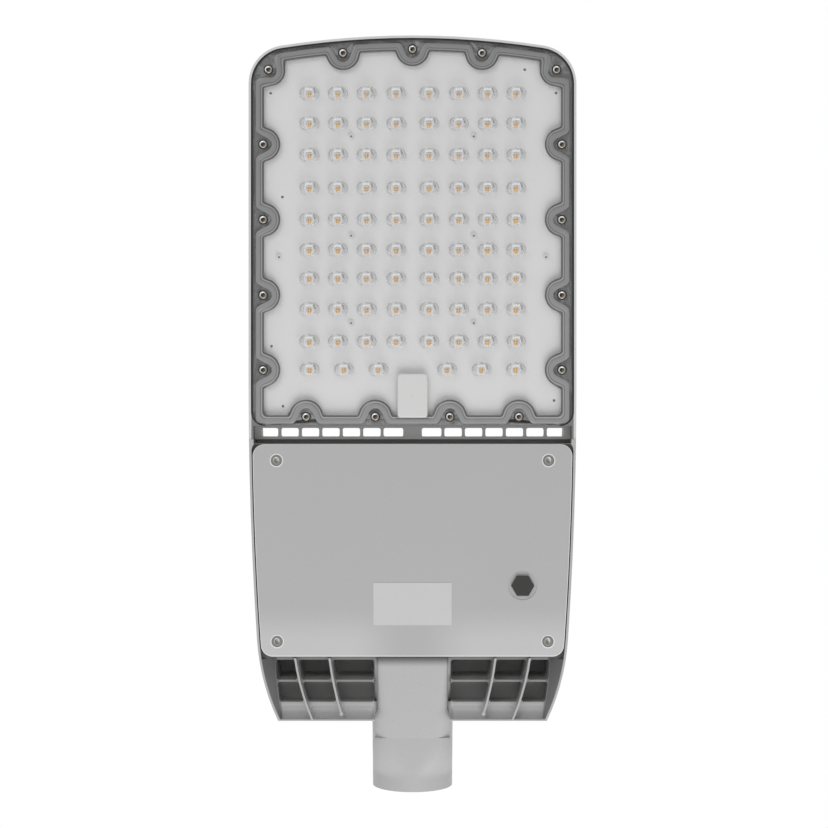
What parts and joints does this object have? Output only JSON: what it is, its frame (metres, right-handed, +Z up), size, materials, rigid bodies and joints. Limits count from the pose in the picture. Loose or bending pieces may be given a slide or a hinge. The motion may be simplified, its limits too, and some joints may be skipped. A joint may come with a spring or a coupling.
{
  "type": "led street light head",
  "caption": "Cast street light head with a screwed lens plate over an LED board, slotted band, driver box under a screwed cover, ribbed tail and tubular pole socket.",
  "frame": {"origin": "centre of the pole socket's bore at its mouth", "axes": "+Z up as the head works, with the lenses facing down; +Y from the socket to the nose; the pole leaves along -Y"},
  "size_m": [0.3066, 0.709, 0.0949],
  "materials": {
    "painted_casting": "satin powder coat",
    "painted_cover": "satin powder coat",
    "clear_lens": "clear moulded plastic",
    "silicone_seal": "matte",
    "white_board": "white solder mask",
    "lamp_package": "phosphor",
    "white_plastic": "moulded",
    "stainless_steel": "plain",
    "dark_plastic": "moulded",
    "label_film": "satin film",
    "aluminium_case": "plain",
    "brass_tag": "plain"
  },
  "bodies": {
    "root": {"housing": "painted_casting", "lens_plate": "clear_lens", "lens_gasket": "silicone_seal", "led_board": "white_board", "led_lamps": "lamp_package", "board_plug": "white_plastic", "lens_screws": "stainless_steel", "board_screws": "stainless_steel", "cover_screws": "stainless_steel", "driver_cover": "painted_cover", "cover_gasket": "silicone_seal", "vent_plug": "dark_plastic", "vent_washer": "silicone_seal", "vent_nut": "dark_plastic", "rating_plate": "label_film", "led_driver": "aluminium_case", "surge_protector": "dark_plastic", "terminal_block": "white_plastic", "driver_screws": "stainless_steel", "surge_screws": "stainless_steel", "terminal_screws": "stainless_steel", "earth_screw": "stainless_steel", "earth_tag": "brass_tag", "cable_gland": "dark_plastic", "wire_grommet": "silicone_seal", "clamp_bolts": "stainless_steel"}
  },
  "joints": []
}
